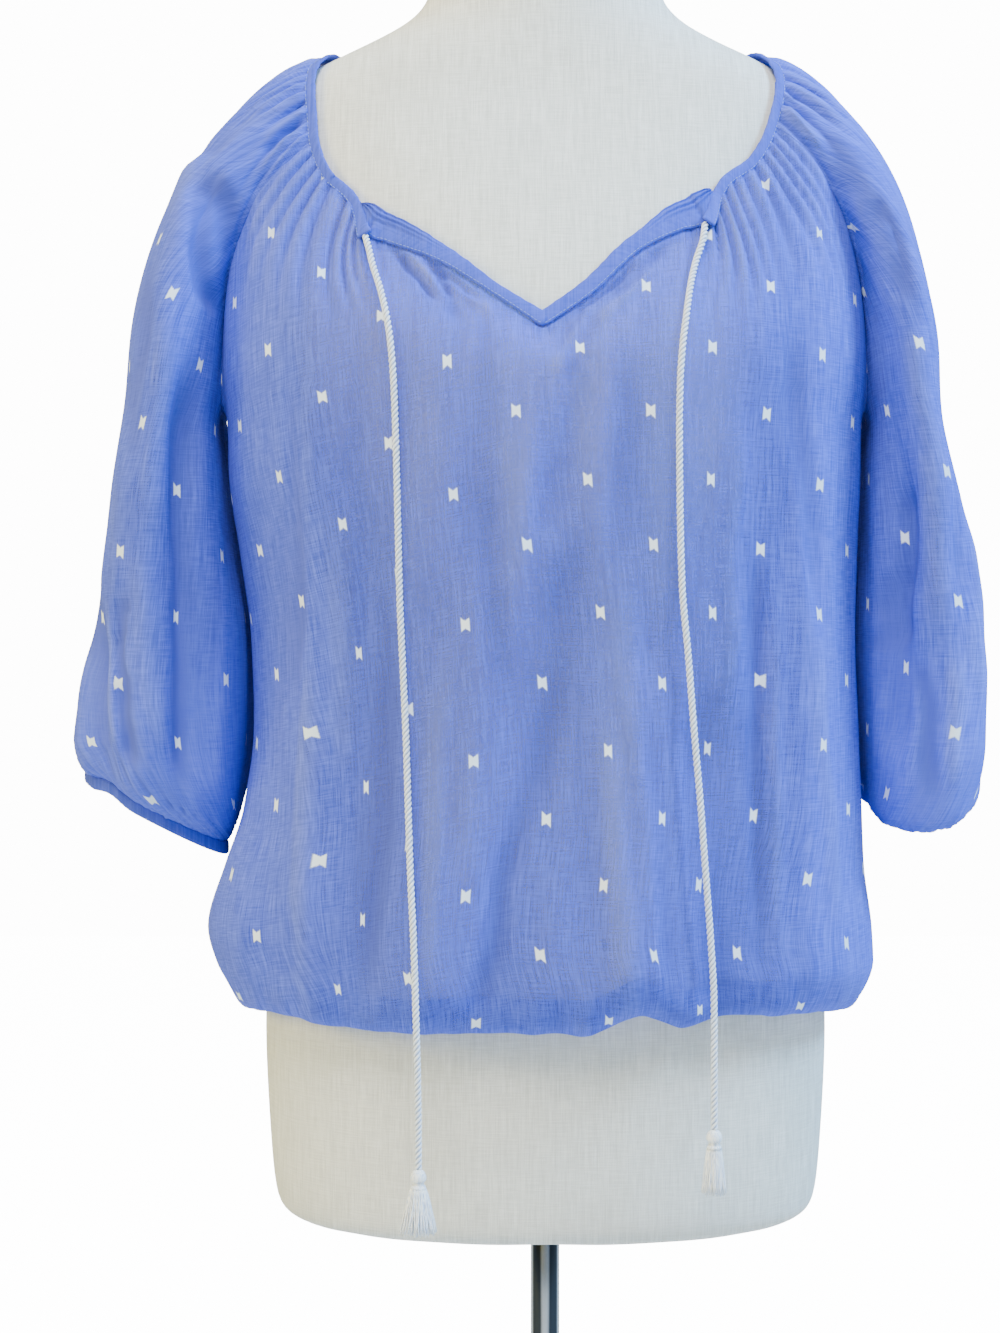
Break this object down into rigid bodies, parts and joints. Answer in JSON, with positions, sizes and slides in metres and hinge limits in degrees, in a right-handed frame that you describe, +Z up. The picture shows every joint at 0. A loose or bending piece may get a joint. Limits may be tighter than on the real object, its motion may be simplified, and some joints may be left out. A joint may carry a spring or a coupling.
{
  "type": "peasant blouse on limbless dress form",
  "caption": "Peasant blouse with raglan sleeves, gathered neck, V slit with tasselled ties and blouson hem, worn by a limbless dress form on a pole.",
  "frame": {"origin": "middle of the round base's underside", "axes": "+Z up along the pole, -Y the way the blouse faces, +X to the viewer's right"},
  "size_m": [0.5847, 0.3282, 1.19],
  "materials": {
    "chambray": "matte semi-sheer cotton voile with small woven white flecks",
    "chambray_trim": "matte folded cotton binding",
    "cotton_cord": "matte twisted cotton",
    "linen_cover": "matte off-white linen cover",
    "chrome": "polished"
  },
  "bodies": {
    "root": {"front": "chambray", "back": "chambray", "sleeve_left_hand": "chambray", "sleeve_right_hand": "chambray", "neck_binding": "chambray_trim", "slit_binding_left_hand": "chambray_trim", "slit_binding_right_hand": "chambray_trim", "cuff_left_hand": "chambray_trim", "cuff_right_hand": "chambray_trim", "hem_band": "chambray_trim", "cord_left_hand": "cotton_cord", "cord_right_hand": "cotton_cord", "tassel_left_hand": "cotton_cord", "tassel_right_hand": "cotton_cord", "dress_form": "linen_cover", "pole": "chrome", "base": "chrome", "base_collar": "chrome"}
  },
  "joints": []
}
